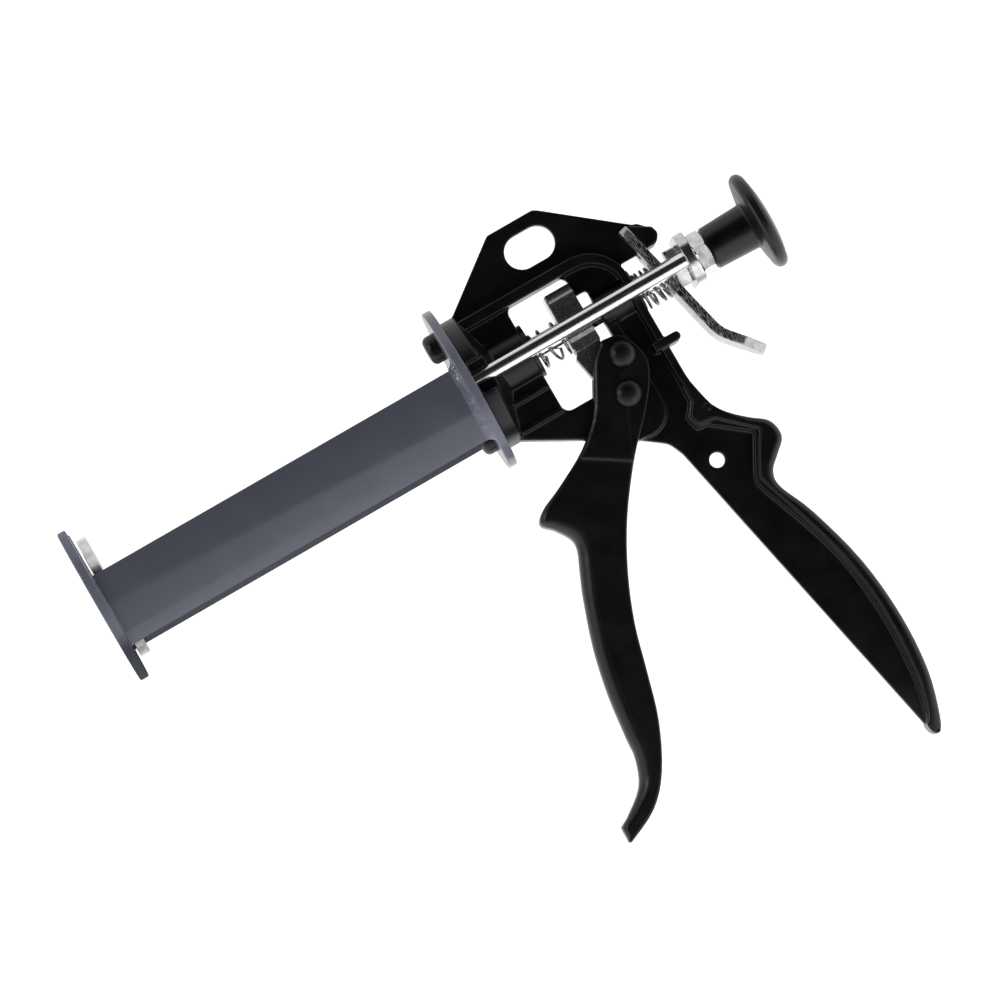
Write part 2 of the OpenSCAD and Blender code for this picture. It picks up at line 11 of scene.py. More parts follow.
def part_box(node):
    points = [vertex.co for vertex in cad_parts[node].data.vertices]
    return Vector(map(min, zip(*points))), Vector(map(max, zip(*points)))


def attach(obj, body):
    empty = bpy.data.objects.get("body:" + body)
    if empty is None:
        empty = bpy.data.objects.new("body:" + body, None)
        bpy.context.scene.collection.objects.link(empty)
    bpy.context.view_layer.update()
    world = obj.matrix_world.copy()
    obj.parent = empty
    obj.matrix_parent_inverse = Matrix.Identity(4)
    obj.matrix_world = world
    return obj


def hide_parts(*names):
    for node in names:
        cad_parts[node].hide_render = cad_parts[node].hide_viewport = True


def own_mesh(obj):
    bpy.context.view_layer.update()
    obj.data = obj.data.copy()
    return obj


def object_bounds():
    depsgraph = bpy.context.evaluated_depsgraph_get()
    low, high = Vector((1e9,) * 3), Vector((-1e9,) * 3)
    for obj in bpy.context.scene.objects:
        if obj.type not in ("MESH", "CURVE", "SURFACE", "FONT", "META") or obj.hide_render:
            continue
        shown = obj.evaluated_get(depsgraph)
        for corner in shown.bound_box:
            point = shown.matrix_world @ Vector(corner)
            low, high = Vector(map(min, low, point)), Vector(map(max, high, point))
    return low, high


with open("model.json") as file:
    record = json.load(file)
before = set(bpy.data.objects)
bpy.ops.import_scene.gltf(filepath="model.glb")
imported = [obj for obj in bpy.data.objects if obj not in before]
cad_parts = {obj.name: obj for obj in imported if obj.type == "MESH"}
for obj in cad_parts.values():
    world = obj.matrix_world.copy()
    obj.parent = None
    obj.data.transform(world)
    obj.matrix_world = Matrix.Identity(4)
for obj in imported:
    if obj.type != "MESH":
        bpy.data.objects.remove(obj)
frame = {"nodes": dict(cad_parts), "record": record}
cad_box = [list(corner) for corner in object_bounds()]
nodes = frame["nodes"]
scene = bpy.context.scene

MM = 0.001
GUN_TILT = math.radians(30)  # the gun's axis rises to the right in the view
SPRING_DROP = 1.6 * MM       # the loose springs hang below the rod's axis
REAR_PAINT = (-0.0040, -0.0025)   # X where the rails' smooth paint ends, at each plate
FRONT_PAINT = (-0.1715, -0.1730)


# ---------------------------------------------------------------- camera and light

VIEW_CENTRE = Vector((-10, 0, -47.4)) * MM


def make_camera():
    """Long lens from the user's left, a little below and ahead of the gun's middle."""
    distance, width, sensor = 3.0, 0.4167, 36
    azimuth, elevation = math.radians(-2.3), math.radians(-2.15)
    away = Vector((
        math.sin(azimuth) * math.cos(elevation),
        -math.cos(azimuth) * math.cos(elevation),
        math.sin(elevation),
    ))
    up = Vector((math.sin(GUN_TILT), 0, math.cos(GUN_TILT)))
    right = (-away).cross(up).normalized()
    up = away.cross(right)
    data = bpy.data.cameras.new("camera")
    data.sensor_width = sensor
    data.lens = sensor * distance / width
    data.clip_end = 20
    camera = bpy.data.objects.new("camera", data)
    axes = Matrix((right, up, away)).transposed()
    camera.matrix_world = Matrix.Translation(VIEW_CENTRE + away * distance) @ axes.to_4x4()
    scene.collection.objects.link(camera)
    scene.camera = camera


def make_card():
    """White board low in front; its slanting edge shows in the rails."""
    depth = -1.035
    outline = [(-0.42, 0.306), (0.188, -0.979), (0.188, -0.5), (0.42, -0.5), (0.42, -1.7),
               (-0.42, -1.7)]
    mesh = bpy.data.meshes.new("white_board")
    mesh.from_pydata([(x, depth, z) for x, z in outline], [], [range(len(outline))])
    board = bpy.data.objects.new("white_board", mesh)
    scene.collection.objects.link(board)
    material, shader, tree = new_material("white_board")
    shader.inputs["Base Color"].default_value = (0, 0, 0, 1)
    shader.inputs["Specular IOR Level"].default_value = 0
    shader.inputs["Emission Color"].default_value = (1, 1, 1, 1)
    across = tree.nodes.new("ShaderNodeMapRange")
    set_range(across, -0.25, 0.2, 0.3, 1.6)
    tree.links.new(axis_of(tree, "Object", "X"), across.inputs["Value"])
    tree.links.new(across.outputs[0], shader.inputs["Emission Strength"])
    mesh.materials.append(material)
    board.visible_camera = False
    board.visible_shadow = False


def make_lamp():
    """Small bright lamp, high on the left, for the glints on edges and welds."""
    data = bpy.data.lights.new("glint_lamp", "AREA")
    data.shape = "DISK"
    data.size = 0.16
    data.energy = 2.2
    lamp = bpy.data.objects.new("glint_lamp", data)
    place = VIEW_CENTRE + Vector((-0.95, -0.85, 0.75))
    back = (place - VIEW_CENTRE).normalized()
    turn = back.to_track_quat("Z", "Y").to_matrix().to_4x4()
    lamp.matrix_world = Matrix.Translation(place) @ turn
    lamp.visible_camera = False
    scene.collection.objects.link(lamp)


def make_world():
    """White tent all round, with a dark gap in front and above, where the camera stands."""
    world = bpy.data.worlds.new("studio")
    scene.world = world
    world.use_nodes = True
    tree = world.node_tree
    tree.nodes.clear()
    link = tree.links.new
    out = tree.nodes.new("ShaderNodeOutputWorld")
    mix = tree.nodes.new("ShaderNodeMixShader")
    seen = tree.nodes.new("ShaderNodeBackground")
    lit = tree.nodes.new("ShaderNodeBackground")
    path = tree.nodes.new("ShaderNodeLightPath")
    coords = tree.nodes.new("ShaderNodeTexCoord")
    split = tree.nodes.new("ShaderNodeSeparateXYZ")
    middle = math.radians(12)
    aside = tree.nodes.new("ShaderNodeVectorMath")
    aside.operation = "DOT_PRODUCT"
    aside.inputs[1].default_value = (0, math.cos(middle), -math.sin(middle))
    gap = tree.nodes.new("ShaderNodeMapRange")
    gap.interpolation_type = "SMOOTHSTEP"
    set_range(gap, -0.707, -0.602, 0.012, 1)
    height = tree.nodes.new("ShaderNodeMapRange")
    set_range(height, -0.7, 0.7, 1.2, 0.78)
    level = tree.nodes.new("ShaderNodeMath")
    level.operation = "MULTIPLY"
    lit.inputs["Color"].default_value = (1, 1, 1, 1)
    seen.inputs["Color"].default_value = (1, 1, 1, 1)
    seen.inputs["Strength"].default_value = 1.2
    link(coords.outputs["Generated"], split.inputs[0])
    link(coords.outputs["Generated"], aside.inputs[0])
    link(aside.outputs["Value"], gap.inputs["Value"])
    link(split.outputs["Z"], height.inputs["Value"])
    link(gap.outputs[0], level.inputs[0])
    link(height.outputs[0], level.inputs[1])
    link(level.outputs[0], lit.inputs["Strength"])
    link(path.outputs["Is Camera Ray"], mix.inputs[0])
    link(lit.outputs[0], mix.inputs[1])
    link(seen.outputs[0], mix.inputs[2])
    link(mix.outputs[0], out.inputs[0])
    scene.view_settings.view_transform = "Standard"


def make_floor():
    """White paper under the gun and far behind it; it stops short of the front."""
    low, front, size = cad_box[0][2], -0.09, 8
    mesh = bpy.data.meshes.new("floor")
    mesh.from_pydata(
        [(-size, front, low), (size, front, low), (size, size, low), (-size, size, low)],
        [], [(0, 1, 2, 3)])
    floor = bpy.data.objects.new("floor", mesh)
    scene.collection.objects.link(floor)
    material, shader, tree = new_material("floor_paper")
    shader.inputs["Base Color"].default_value = (0.9, 0.9, 0.9, 1)
    shader.inputs["Roughness"].default_value = 0.95
    shader.inputs["Specular IOR Level"].default_value = 0
    shader.inputs["Emission Color"].default_value = (1, 1, 1, 1)
    shader.inputs["Emission Strength"].default_value = 0.7
    mesh.materials.append(material)


# ---------------------------------------------------------------- material helpers

def set_range(node, from_min, from_max, to_min, to_max):
    """Sets the four limits of a Map Range node."""
    for socket, value in (("From Min", from_min), ("From Max", from_max),
                          ("To Min", to_min), ("To Max", to_max)):
        node.inputs[socket].default_value = value


def new_material(name):
    material = bpy.data.materials.new(name)
    material.use_nodes = True
    tree = material.node_tree
    return material, tree.nodes["Principled BSDF"], tree


def noise(tree, scale, detail=3, stretch=None):
    """Noise in the object's own coordinates; scale is in features per metre."""
    coords = tree.nodes.new("ShaderNodeTexCoord")
    texture = tree.nodes.new("ShaderNodeTexNoise")
    texture.inputs["Scale"].default_value = scale
    texture.inputs["Detail"].default_value = detail
    source = coords.outputs["Object"]
    if stretch:
        mapping = tree.nodes.new("ShaderNodeMapping")
        mapping.inputs["Scale"].default_value = stretch
        tree.links.new(source, mapping.inputs[0])
        source = mapping.outputs[0]
    tree.links.new(source, texture.inputs["Vector"])
    return texture.outputs[0]


def ramp(tree, value, stops):
    """Colour ramp through (position, colour or grey) stops."""
    node = tree.nodes.new("ShaderNodeValToRGB")
    elements = node.color_ramp.elements
    for extra in stops[2:]:
        elements.new(extra[0])
    for element, (place, colour) in zip(elements, stops):
        element.position = place
        element.color = (colour,) * 3 + (1,) if isinstance(colour, float) else (*colour, 1)
    tree.links.new(value, node.inputs[0])
    return node.outputs[0]


def combine(tree, operation, first, second):
    """Clamped sum, product or the like of two values, each a socket or a number."""
    node = tree.nodes.new("ShaderNodeMath")
    node.operation = operation
    node.use_clamp = True
    for socket, value in zip(node.inputs, (first, second)):
        if isinstance(value, (int, float)):
            socket.default_value = value
        else:
            tree.links.new(value, socket)
    return node.outputs[0]


def blend_colour(tree, factor, first, second):
    node = tree.nodes.new("ShaderNodeMix")
    node.data_type = "RGBA"
    tree.links.new(factor, node.inputs["Factor"])
    for socket, value in ((node.inputs[6], first), (node.inputs[7], second)):
        tree.links.new(value, socket)
    return node.outputs[2]


def step_up(tree, value, low, high):
    """0 below low, 1 above high, smooth between; low may be above high."""
    node = tree.nodes.new("ShaderNodeMapRange")
    node.interpolation_type = "SMOOTHSTEP"
    node.inputs["From Min"].default_value = low
    node.inputs["From Max"].default_value = high
    tree.links.new(value, node.inputs["Value"])
    return node.outputs[0]


def axis_of(tree, kind, axis):
    """One axis of the object's own coordinates or of its normals."""
    coords = tree.nodes.new("ShaderNodeTexCoord")
    split = tree.nodes.new("ShaderNodeSeparateXYZ")
    tree.links.new(coords.outputs[kind], split.inputs[0])
    return split.outputs[axis]


def bump(tree, shader, height, strength, distance):
    """Roughens a surface by a height map; distance is in metres."""
    node = tree.nodes.new("ShaderNodeBump")
    node.inputs["Strength"].default_value = strength
    node.inputs["Distance"].default_value = distance
    tree.links.new(height, node.inputs["Height"])
    tree.links.new(node.outputs[0], shader.inputs["Normal"])


# ---------------------------------------------------------------- materials

def powder_coat():
    material, shader, tree = new_material("powder_coat_black")
    shader.inputs["Specular Tint"].default_value = (1, 0.9, 1, 1)
    tone = noise(tree, 90, 4)
    tree.links.new(
        ramp(tree, tone, [(0.3, (0.0018, 0.0016, 0.0018)), (0.7, (0.0036, 0.0032, 0.0036))]),
        shader.inputs["Base Color"])
    tree.links.new(ramp(tree, tone, [(0.3, 0.3), (0.7, 0.38)]), shader.inputs["Roughness"])
    bump(tree, shader, noise(tree, 1400, 2), 0.2, 0.00008)
    return material


def grey_paint():
    """Smooth satin paint on the rails, lighter and rougher near the plates; painted shade on the
    rails' undersides and the front plate's lower tip.
    """
    material, shader, tree = new_material("satin_paint_grey")
    shader.inputs["Specular Tint"].default_value = (0.92, 0.94, 1, 1)
    along = axis_of(tree, "Object", "X")
    ends = combine(tree, "ADD", step_up(tree, along, *REAR_PAINT),
                   step_up(tree, along, *FRONT_PAINT))
    tone = noise(tree, 60, 4)
    smooth = ramp(tree, tone, [(0.3, (0.103, 0.109, 0.141)), (0.7, (0.116, 0.123, 0.157))])
    # lighter tone near each plate
    plate_tone = ramp(tree, tone, [(0.3, (0.165, 0.172, 0.220)), (0.7, (0.185, 0.193, 0.245))])
    # painted shade colour for the rails' undersides and the front plate's lower tip
    shade_tone = ramp(tree, tone, [(0.3, (0.056, 0.059, 0.073)), (0.7, (0.066, 0.069, 0.085))])
    # painted shade on the front plate's lower tip
    tip = combine(tree, "MULTIPLY", step_up(tree, along, *FRONT_PAINT),
                  step_up(tree, axis_of(tree, "Object", "Z"), -0.0150, -0.0260))
    # painted shade on the rails' faces that look downward
    under = combine(tree, "MULTIPLY", combine(tree, "SUBTRACT", 1, ends),
                    step_up(tree, axis_of(tree, "Normal", "Z"), -0.75, -0.90))
    painted_shade = combine(tree, "MAXIMUM", tip, under)
    tree.links.new(blend_colour(tree, painted_shade, blend_colour(tree, ends, smooth, plate_tone), shade_tone),
                   shader.inputs["Base Color"])
    # the painted shade also takes the gloss off there
    tree.links.new(ramp(tree, painted_shade, [(0, 0.5), (1, 0.0)]), shader.inputs["Specular IOR Level"])
    tree.links.new(
        blend_colour(tree, ends, ramp(tree, tone, [(0.3, 0.1), (0.7, 0.14)]),
                     ramp(tree, tone, [(0.3, 0.16), (0.7, 0.24)])),
        shader.inputs["Roughness"])
    bump(tree, shader, noise(tree, 2500, 2), 0.1, 0.00003)
    return material


def black_oxide():
    material, shader, tree = new_material("black_oxide_steel")
    shader.inputs["Specular Tint"].default_value = (1, 0.92, 1, 1)
    tone = noise(tree, 250, 4)
    tree.links.new(
        ramp(tree, tone, [(0.3, (0.002, 0.002, 0.002)), (0.7, (0.005, 0.0045, 0.005))]),
        shader.inputs["Base Color"])
    tree.links.new(ramp(tree, tone, [(0.3, 0.3), (0.7, 0.4)]), shader.inputs["Roughness"])
    bump(tree, shader, noise(tree, 1800, 2), 0.1, 0.00005)
    return material


def dark_steel():
    """Dark speckled steel; two bright bands, high and low, are painted highlights along its edges.
    """
    material, shader, tree = new_material("dark_sintered_steel")
    shader.inputs["Metallic"].default_value = 0.8
    height = axis_of(tree, "Object", "Z")
    grain = noise(tree, 1500, 4)
    # painted highlights: bright bands along the top bend and a lower edge
    highlight_top_line = combine(tree, "MULTIPLY", step_up(tree, height, 0.0122, 0.0127),
                       step_up(tree, height, 0.0136, 0.0131))
    highlight_low_line = combine(tree, "MULTIPLY", step_up(tree, height, -0.0064, -0.0060),
                       step_up(tree, height, -0.0042, -0.0047))
    painted_highlight = combine(tree, "ADD", highlight_top_line, highlight_low_line)
    plain = ramp(tree, grain, [(0.35, 0.09), (0.58, 0.2), (0.75, 0.45)])
    highlight_tone = ramp(tree, grain, [(0.3, 0.5), (0.7, 0.85)])
    tree.links.new(blend_colour(tree, painted_highlight, plain, highlight_tone), shader.inputs["Base Color"])
    tree.links.new(
        blend_colour(tree, painted_highlight, ramp(tree, grain, [(0.3, 0.4), (0.7, 0.3)]),
                     ramp(tree, grain, [(0.3, 0.75), (0.7, 0.65)])),
        shader.inputs["Roughness"])
    bump(tree, shader, grain, 0.2, 0.00008)
    return material


def zinc_plate():
    """Mottled zinc with fine grain; painted shade low on the piston and in the seam by the yoke.
    """
    material, shader, tree = new_material("zinc_plate")
    shader.inputs["Metallic"].default_value = 1
    patches = noise(tree, 330, 5, (1, 1, 0.6))
    # painted shade on the piston's lower part
    shaded_low = step_up(tree, axis_of(tree, "Object", "Z"), -0.0150, -0.0200)
    low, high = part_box("yoke_washer")
    along = axis_of(tree, "Object", "X")
    # painted shade in the seam by the yoke, across the washer's length
    seam_shade = combine(tree, "MULTIPLY", step_up(tree, along, low[0] - 0.0003, low[0]),
                   step_up(tree, along, high[0] + 0.0003, high[0]))
    tree.links.new(
        blend_colour(tree, combine(tree, "MAXIMUM", shaded_low, seam_shade),
                     ramp(tree, patches, [(0.33, 0.58), (0.5, 0.72), (0.7, 0.84)]),
                     ramp(tree, patches, [(0.33, 0.18), (0.5, 0.26), (0.7, 0.34)])),
        shader.inputs["Base Color"])
    tree.links.new(ramp(tree, patches, [(0.3, 0.28), (0.7, 0.18)]), shader.inputs["Roughness"])
    bump(tree, shader, noise(tree, 500, 4, (1, 1, 0.5)), 0.2, 0.0001)
    return material


def zinc_lever():
    """Bright zinc faces; the sheared side edges are dark and furrowed between the ends."""
    material, shader, tree = new_material("zinc_lever")
    shader.inputs["Metallic"].default_value = 1
    sideways = combine(tree, "ABSOLUTE", axis_of(tree, "Normal", "Y"), 0)
    height = axis_of(tree, "Object", "Z")
    middle = combine(
        tree, "MULTIPLY",
        step_up(tree, height, 0.0218, 0.0178), step_up(tree, height, -0.0405, -0.0385))
    edge = combine(tree, "MULTIPLY", step_up(tree, sideways, 0.6, 0.8), middle)
    furrows = noise(tree, 1700, 6, (1.5, 1, 0.25))
    bright = ramp(tree, noise(tree, 350, 4), [(0.3, 0.38), (0.62, 0.56)])
    dark = ramp(tree, furrows, [(0.42, 0.02), (0.52, 0.16), (0.6, 0.7), (0.7, 0.9)])
    tree.links.new(blend_colour(tree, edge, bright, dark), shader.inputs["Base Color"])
    tree.links.new(
        blend_colour(tree, edge, ramp(tree, furrows, [(0.3, 0.4), (0.7, 0.3)]),
                     ramp(tree, furrows, [(0.3, 0.55), (0.7, 0.4)])),
        shader.inputs["Roughness"])
    bump(tree, shader, furrows, 0.7, 0.0003)
    return material


def spring_wire():
    material, shader, tree = new_material("spring_wire")
    shader.inputs["Metallic"].default_value = 1
    tone = noise(tree, 400, 3)
    tree.links.new(ramp(tree, tone, [(0.3, 0.2), (0.7, 0.34)]), shader.inputs["Base Color"])
    tree.links.new(ramp(tree, tone, [(0.3, 0.32), (0.7, 0.22)]), shader.inputs["Roughness"])
    return material


def drawn_rod():
    """Bright drawn bar: fine lines run along it."""
    material, shader, tree = new_material("drawn_rod")
    shader.inputs["Metallic"].default_value = 1
    lines = noise(tree, 1500, 4, (0.06, 1, 1))
    tree.links.new(ramp(tree, lines, [(0.32, 0.78), (0.6, 0.95)]), shader.inputs["Base Color"])
    tree.links.new(ramp(tree, lines, [(0.3, 0.26), (0.7, 0.14)]), shader.inputs["Roughness"])
    bump(tree, shader, noise(tree, 3500, 3, (0.4, 1, 1)), 0.3, 0.00004)
    return material


def plastic():
    material, shader, tree = new_material("moulded_plastic_black")
    shader.inputs["Specular Tint"].default_value = (1, 0.92, 1, 1)
    tone = noise(tree, 120, 3)
    tree.links.new(
        ramp(tree, tone, [(0.3, (0.004, 0.0038, 0.004)), (0.7, (0.0065, 0.006, 0.0065))]),
        shader.inputs["Base Color"])
    tree.links.new(ramp(tree, tone, [(0.3, 0.28), (0.7, 0.36)]), shader.inputs["Roughness"])
    bump(tree, shader, noise(tree, 2200, 2), 0.12, 0.00008)
    return material


def make_materials():
    return {
        "black_casting": powder_coat(),
        "grey_paint": grey_paint(),
        "black_steel": black_oxide(),
        "dark_steel": dark_steel(),
        "zinc_steel": zinc_plate(),
        "zinc_lever": zinc_lever(),
        "spring_steel": spring_wire(),
        "bright_rod": drawn_rod(),
        "black_plastic": plastic(),
    }


def dress_cad(materials):
    """Gives each CAD node the material of its slot."""
    for part in frame["record"]["subparts"]:
        node = nodes[part["node"]]
        node.data.materials.clear()
        node.data.materials.append(materials[part["material_slot"]])


def soften(names, width, segments=2):
    """Eases the sharp edges of CAD nodes; their own meshes stay as they are."""
    for name in names:
        weld = nodes[name].modifiers.new("weld", "WELD")
        weld.merge_threshold = 0.000002
        bevel = nodes[name].modifiers.new("bevel", "BEVEL")
        bevel.width = width * MM
        bevel.segments = segments
        bevel.limit_method = "ANGLE"
        bevel.angle_limit = math.radians(40)
        normals = nodes[name].modifiers.new("normals", "WEIGHTED_NORMAL")
        normals.weight = 100
        normals.keep_sharp = False


# ---------------------------------------------------------------- mesh helpers

def get_points(piece):
    points = np.empty(len(piece.data.vertices) * 3)
    piece.data.vertices.foreach_get("co", points)
    return points.reshape(-1, 3)


def set_points(piece, points):
    piece.data.vertices.foreach_set("co", points.ravel())
    piece.data.update()


def sculptable(name, node, voxel):
    """An even, dense copy of a CAD node's surface."""
    piece = bpy.data.objects.new(name, nodes[node].data.copy())
    scene.collection.objects.link(piece)
    remesh = piece.modifiers.new("remesh", "REMESH")
    remesh.mode = "VOXEL"
    remesh.voxel_size = voxel * MM
    remesh.use_smooth_shade = True
    shaped = piece.evaluated_get(bpy.context.evaluated_depsgraph_get())
    mesh = bpy.data.meshes.new_from_object(shaped)
    piece.modifiers.clear()
    piece.data = mesh
    return piece


def relax(piece, rounds, weight=1.0):
    """Evens out the surface and rounds its edges; weight is one number or one per point."""
    mesh = piece.data
    ends = np.empty(len(mesh.edges) * 2, dtype=np.int32)
    mesh.edges.foreach_get("vertices", ends)
    first, second = ends[::2], ends[1::2]
    points = get_points(piece)
    total = len(points)
    valence = np.bincount(ends, minlength=total)[:, None]
    share = np.reshape(weight, (-1, 1)) * 0.5
    for _ in range(rounds):
        around = np.stack([
            np.bincount(first, points[second, axis], total)
            + np.bincount(second, points[first, axis], total)
            for axis in range(3)
        ], axis=1)
        points += share * (around / valence - points)
    set_points(piece, points)


def outer_edge(points, low, high, sign):
    """X of the outermost surface at each height; sign is 1 for the rear, -1 for the front."""
    step = 0.6 * MM
    levels = np.arange(low, high, step)
    slot = np.round((points[:, 2] - low) / step).astype(int)
    inside = (slot >= 0) & (slot < len(levels))
    line = np.full(len(levels), -np.inf)
    np.maximum.at(line, slot[inside], sign * points[inside, 0])
    kernel = np.ones(5) / 5
    line = np.convolve(np.pad(line, 2, mode="edge"), kernel, mode="valid")
    return levels, sign * line


def round_edge(piece, low, high, sign, half_width, radius):
    """Rolls over the edge between a side face and the front or rear edge surface.

    radius gives the roll's radius for each point's height.
    """
    points = get_points(piece)
    levels, line = outer_edge(points, low, high, sign)
    slope = np.gradient(line, levels)
    x, y, z = points.T
    edge_x = np.interp(z, levels, line)
    lean = np.interp(z, levels, slope)
    tall = np.sqrt(1 + lean ** 2)
    inward = sign * (edge_x - x) / tall
    sideways = half_width - np.abs(y)
    r = radius(z)
    a, b = r - inward, r - sideways
    reach = np.hypot(a, b)
    corner = (z > low) & (z < high) & (a > 0) & (b > 0) & (reach > r) & (r > 0)
    pull = np.where(corner, 1 - r / np.maximum(reach, 1e-9), 0)
    out_x, out_z = sign / tall, -sign * lean / tall
    points[:, 0] -= pull * a * out_x
    points[:, 2] -= pull * a * out_z
    points[:, 1] -= pull * b * np.sign(y)
    set_points(piece, points)


def crease(piece, top, bottom, depth):
    """Sinks both side faces a little behind a line that runs down them."""
    points = get_points(piece)
    start, end = np.array(top), np.array(bottom)
    length = np.hypot(*(end - start))
    along = (end - start) / length
    offset = points[:, [0, 2]] - start
    down = offset @ along
    behind = offset @ np.array([-along[1], along[0]])
    inside = np.clip(down / (3 * MM), 0, 1) * np.clip((length - down) / (1 * MM), 0, 1)
    side = np.clip(behind / (0.8 * MM) + 0.5, 0, 1)
    fade = np.clip(1 - behind / (9 * MM), 0, 1)
    sunk = depth * inside * side * fade * (np.abs(points[:, 1]) > 9.6 * MM)
    points[:, 1] -= np.sign(points[:, 1]) * sunk
    set_points(piece, points)


def new_piece(name, vertices, faces, material):
    mesh = bpy.data.meshes.new(name)
    mesh.from_pydata([tuple(v) for v in vertices], [], faces)
    mesh.polygons.foreach_set("use_smooth", [True] * len(mesh.polygons))
    mesh.materials.append(material)
    piece = bpy.data.objects.new(name, mesh)
    scene.collection.objects.link(piece)
    return piece


def finish_piece(piece, body, node, material):
    piece.data.materials.clear()
    piece.data.materials.append(material)
    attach(piece, body)
    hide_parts(node)


# ---------------------------------------------------------------- pieces

def make_casting(material):
    """Cast body: soft moulded edges, and a rounded back down the handle."""
    piece = sculptable("cast_body", "frame_casting", 0.42)
    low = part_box("frame_casting")[0][2]
    half = 11 * MM

    def radius(z):
        return 3.2 * MM * np.interp(z, [low + 0.002, low + 0.012, -0.070, -0.060], [1, 1, 1, 0])

    round_edge(piece, low + 0.001, -0.050, 1, half, radius)
    relax(piece, 3)
    finish_piece(piece, "frame", "frame_casting", material)


def make_trigger(material):
    """Trigger: soft edges, and a broad round front below its lip."""
    piece = sculptable("trigger_body", "trigger", 0.42)
    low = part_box("trigger")[0][2]

    def radius(z):
        return MM * np.interp(z, [low + 0.006, low + 0.02, -0.078, -0.062, -0.052, -0.035],
                              [3, 6.5, 6.5, 3.5, 1.4, 1.2])

    round_edge(piece, low + 0.002, -0.012, -1, 10 * MM, radius)
    crease(piece, (0.0607, -0.0262), (0.0464, -0.0606), 0.35 * MM)
    relax(piece, 6)
    finish_piece(piece, "trigger", "trigger", material)


def coil(name, x_from, length, mean_r, wire_r, turns, closing, lean, skew, material):
    """Coil spring about the rod, hanging a little.

    closing draws the end turns together, lean tips the far end, and skew turns the middle
    turns about the upright, which opens the loops seen below the rod.
    """
    per_turn, sides = 48, 12
    rings = round(turns * per_turn)
    vertices, faces = [], []
    for i in range(rings + 1):
        t = i / rings
        a = 2 * math.pi * turns * t + math.pi / 2
        rise = t - closing * math.sin(2 * math.pi * t) / (2 * math.pi)
        y, z = mean_r * math.cos(a), mean_r * math.sin(a)
        x = x_from + wire_r + (length - 2 * wire_r - lean * z) * rise
        x += skew * y * math.sin(math.pi * t) ** 2
        r = wire_r * (0.55, 0.85, 1)[min(i, rings - i, 2)]
        for j in range(sides):
            b = 2 * math.pi * j / sides
            out = r * math.cos(b)
            vertices.append((x + r * math.sin(b), y + out * math.cos(a),
                             z + out * math.sin(a) - SPRING_DROP))
    for i in range(rings):
        for j in range(sides):
            a, b = i * sides + j, i * sides + (j + 1) % sides
            faces.append((a, a + sides, b + sides, b))
    faces.append(tuple(range(sides)))
    faces.append(tuple(rings * sides + j for j in reversed(range(sides))))
    piece = new_piece(name, vertices, faces, material)
    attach(piece, "frame")
    return piece


def make_springs(material):
    """Both coil springs, in place of the CAD springs."""
    low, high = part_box("front_spring")
    length, travel = high[0] - low[0], 8.6 * MM
    piece = coil("spring_front", low[0], length, 7.7 * MM, 0.68 * MM, 2.5, 0.5, 0, 0.16, material)
    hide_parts("front_spring")
    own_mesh(piece)
    low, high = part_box("rear_spring")
    lean = math.tan(math.radians(13.5))
    length = high[0] - low[0] - lean * 8 * MM
    piece = coil("spring_rear", low[0], length, 8 * MM, 0.6 * MM, 3.75, 0.35, lean, 0.11, material)
    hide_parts("rear_spring")
    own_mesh(piece)


def narrow_tip(piece, tip, lean, depth, slope, radius, fixed):
    """Tapers a strip's end, seen square on to the strip, and rounds its corners.

    The taper starts depth before the tip; |y| below fixed stays.
    """
    half = 13 * MM
    points = get_points(piece)
    way = np.array([math.sin(math.radians(lean)), -math.cos(math.radians(lean))])
    if tip[1] > 0:
        way = -way
    left = np.clip((np.array(tip) - points[:, [0, 2]]) @ way, 0, None)
    limit = half - slope * np.clip(depth - left, 0, None)
    near = np.clip(left, 0, radius)
    limit -= radius - np.sqrt(radius ** 2 - (radius - near) ** 2)
    wide = np.abs(points[:, 1])
    moved = fixed + (wide - fixed) * (limit - fixed) / (half - fixed)
    points[:, 1] = np.sign(points[:, 1]) * np.where(wide > fixed, moved, wide)
    set_points(piece, points)


def make_lever(material):
    """Release lever; its thumb tail narrows, and its ends are rounded off."""
    piece = sculptable("brake_lever", "release_lever", 0.35)
    low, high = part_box("release_lever")
    narrow_tip(piece, (high[0] - 0.8 * MM, low[2] + 1 * MM), 41, 10 * MM, 0.6, 2 * MM, 0)
    narrow_tip(piece, (low[0] + 2 * MM, high[2] - 0.2 * MM), 13.5, 0, 0, 3.4 * MM, 8 * MM)
    relax(piece, 3)
    finish_piece(piece, "release_lever", "release_lever", material)


def make_yoke(material):
    """Yoke plate with round ends, so that the light slides off above and below."""
    piece = sculptable("yoke_plate", "yoke", 0.35)
    low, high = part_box("yoke")
    radius = 11.3 * MM
    points = get_points(piece)
    a = np.abs(points[:, 1]) - (high[1] - radius)
    b = np.abs(points[:, 2]) - (high[2] - radius)
    reach = np.hypot(a, b)
    scale = np.where((a > 0) & (b > 0) & (reach > radius), radius / np.maximum(reach, 1e-9), 1)
    points[:, 1] -= np.sign(points[:, 1]) * a * (1 - scale)
    points[:, 2] -= np.sign(points[:, 2]) * b * (1 - scale)
    set_points(piece, points)
    relax(piece, 4)
    finish_piece(piece, "ram", "yoke", material)


def make_front_nut(material):
    """Front nut, turned a little from the CAD's level flats, with eased corners."""
    piece = sculptable("nut_front", "front_nut", 0.3)
    turn = math.radians(5)
    points = get_points(piece)
    y, z = points[:, 1].copy(), points[:, 2].copy()
    points[:, 1] = y * math.cos(turn) - z * math.sin(turn)
    points[:, 2] = y * math.sin(turn) + z * math.cos(turn)
    set_points(piece, points)
    relax(piece, 2)
    finish_piece(piece, "ram", "front_nut", material)


def smooth_random(rng, count, spacing, low, high):
    """Random values that change smoothly, a new one every so many rings."""
    knots = rng.uniform(low, high, count // spacing + 3)
    t = np.arange(count) / spacing
    i = t.astype(int)
    ease = (1 - np.cos((t - i) * np.pi)) / 2
    return knots[i] * (1 - ease) + knots[i + 1] * ease


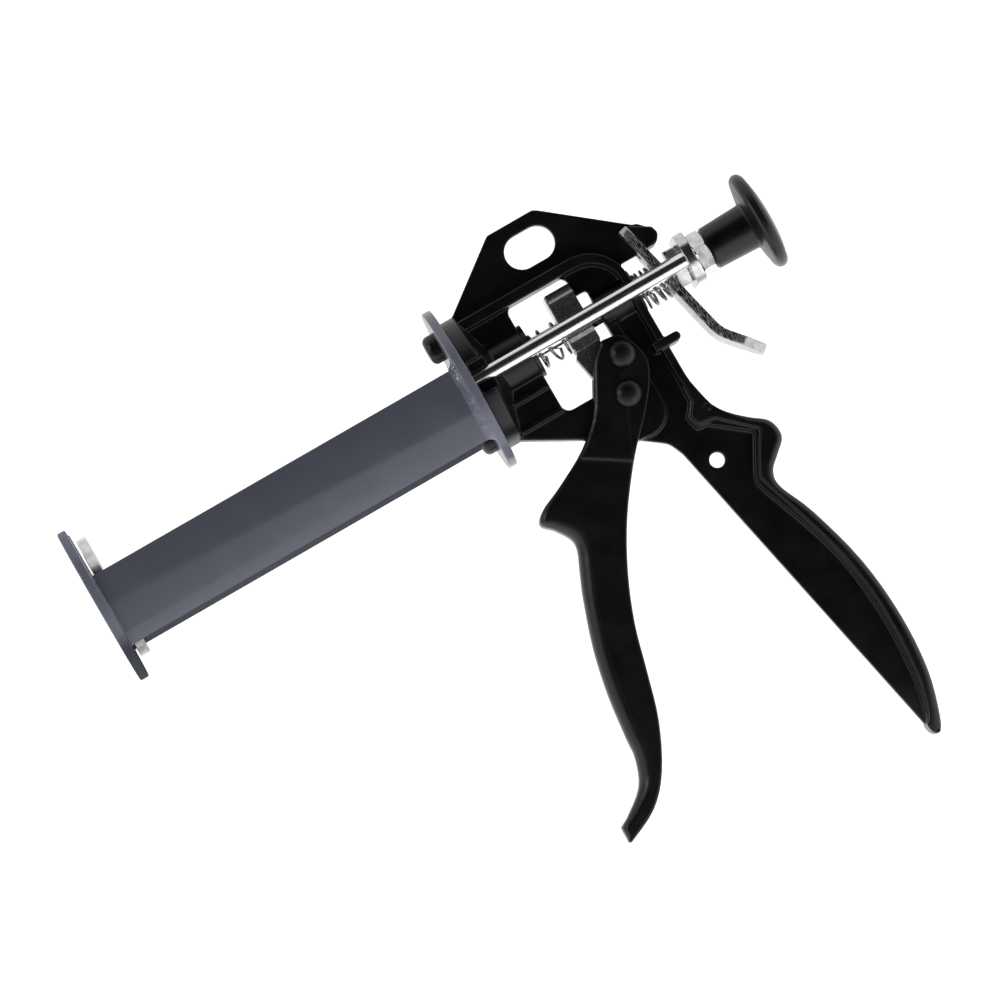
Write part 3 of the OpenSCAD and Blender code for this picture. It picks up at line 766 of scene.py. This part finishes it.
def weld_run(rng, x_plate, inward, hand, size):
    """One hand-laid fillet between a rail and a plate; it tails off past the rail's edges."""
    rail_r, drop, root = 35 * MM, 1 * MM, 32.9 * MM
    low_edge, high_edge = math.radians(-41.8), math.radians(14.9)
    first, last = low_edge - math.radians(5), high_edge + math.radians(11)
    rings, across = 170, 9
    reach = smooth_random(rng, rings, 8, 0.7, 1.3) * size
    height = smooth_random(rng, rings, 6, 0.8, 1.75) * MM
    ripple = np.stack([smooth_random(rng, rings, 4, -0.16, 0.16) for _ in range(across)], axis=1)
    vertices, faces = [], []
    for i in range(rings):
        angle = first + (last - first) * i / (rings - 1)
        past = max((angle - high_edge) / (last - high_edge),
                   (low_edge - angle) / (low_edge - first), 0)
        wide = max(reach[i] * (1 - past) ** 2, 0.05 * MM)
        section = [(-0.4 * MM, root), (-0.4 * MM, rail_r + height[i])]
        for j in range(across):
            u = j / (across - 1)
            out = rail_r + height[i] * (1 - u) ** 1.8 + ripple[i, j] * MM * math.sin(math.pi * u)
            section.append((wide * u, out))
        section.append((wide, root))
        for x, out in section:
            vertices.append((x_plate + inward * x, hand * out * math.cos(angle),
                             out * math.sin(angle) - drop))
    sides = across + 3
    for i in range(rings - 1):
        for j in range(sides):
            a, b = i * sides + j, i * sides + (j + 1) % sides
            faces.append((a, b, b + sides, a + sides))
    faces.append(tuple(range(sides))[::-1])
    faces.append(tuple((rings - 1) * sides + j for j in range(sides)))
    if hand * inward > 0:
        faces = [face[::-1] for face in faces]
    return vertices, faces


def make_welds(material):
    """Four weld runs, thick at the rear plate and slight at the front one."""
    rng = np.random.default_rng(11)
    low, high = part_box("weld_beads")
    vertices, faces = [], []
    for x_plate, inward, size in ((high[0], -1, 2.8 * MM), (low[0], 1, 0.7 * MM)):
        for hand in (-1, 1):
            more, quads = weld_run(rng, x_plate, inward, hand, size)
            base = len(vertices)
            vertices += more
            faces += [tuple(base + i for i in quad) for quad in quads]
    piece = new_piece("weld_runs", vertices, faces, material)
    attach(piece, "frame")
    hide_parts("weld_beads")


make_camera()
make_world()
make_floor()
make_card()
make_lamp()
materials = make_materials()
dress_cad(materials)
soften(["rear_plate", "front_plate"], 0.7, 3)
soften(["plate_screws"], 1.4, 4)
soften(["left_rail", "right_rail"], 0.1)
soften(["yoke_washer", "rear_nut", "piston", "drive_dog", "dog_washer"], 0.35)
make_casting(materials["black_casting"])
make_trigger(materials["black_casting"])
make_springs(materials["spring_steel"])
make_lever(materials["zinc_lever"])
make_yoke(materials["zinc_steel"])
make_front_nut(materials["zinc_steel"])
make_welds(materials["grey_paint"])
